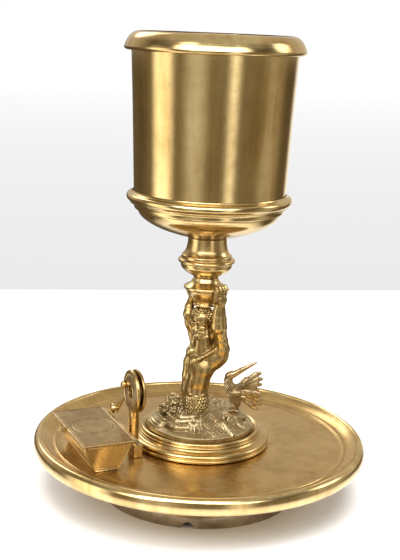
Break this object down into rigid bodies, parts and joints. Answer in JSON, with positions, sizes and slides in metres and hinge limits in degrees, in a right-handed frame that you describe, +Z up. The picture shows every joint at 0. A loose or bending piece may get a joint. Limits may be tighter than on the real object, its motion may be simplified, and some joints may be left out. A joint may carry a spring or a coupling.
{
  "type": "figural cup stand",
  "caption": "Brass figural stand: a tall open cup held up by a merman over a round tray with a hinged match box and a lever cigar cutter.",
  "frame": {"origin": "centre of the foot ring's resting plane, on the column's axis", "axes": "+Z up the column, -Y towards the viewer's side, match box and cutter on the -X side"},
  "size_m": [0.28, 0.28, 0.382],
  "materials": {
    "brass_polished": "aged polish over turned and sheet brass",
    "brass_cast": "aged chased casting, dark in the hollows",
    "brass_dark": "dull brown patina",
    "steel": "bright worked steel"
  },
  "bodies": {
    "stand": {"foot_ring": "brass_dark", "tray": "brass_polished", "foot_screw_1": "steel", "foot_screw_2": "steel", "foot_screw_3": "steel", "plinth": "brass_polished", "mound": "brass_cast", "merman_body": "brass_cast", "merman_right_arm": "brass_cast", "merman_left_arm": "brass_cast", "bird_body": "brass_cast", "bird_near_wing": "brass_cast", "bird_far_wing": "brass_cast", "stem_cap": "brass_polished", "stem_knop": "brass_polished", "cup_base": "brass_polished", "cup_wall": "brass_polished", "cup_lip": "brass_polished", "stem_stud": "steel", "cup_washer": "steel", "cup_nut": "steel", "column_washer": "steel", "column_bolt": "steel", "box_body": "brass_polished", "front_knuckle": "brass_polished", "back_knuckle": "brass_polished", "hinge_pin": "steel", "front_box_bolt": "brass_dark", "back_box_bolt": "brass_dark", "front_box_nut": "steel", "back_box_nut": "steel", "cutter_post": "brass_polished", "pivot_screw": "brass_polished", "return_spring": "steel", "post_screw": "steel"},
    "lid": {"box_lid": "brass_polished"},
    "lever": {"cutter_lever": "steel", "thumb_button": "brass_polished"}
  },
  "joints": [
    {"name": "lid_hinge", "type": "hinge", "parent": "stand", "child": "lid", "pos_m": [-0.06505, -0.03703, 0.0664], "axis": [-0.4195, 0.9078, 0], "range_deg": [0, 82]},
    {"name": "cutter_pivot", "type": "hinge", "parent": "stand", "child": "lever", "pos_m": [-0.05945, -0.0253, 0.0984], "axis": [-0.9078, -0.4195, 0], "range_deg": [0, 42]}
  ]
}
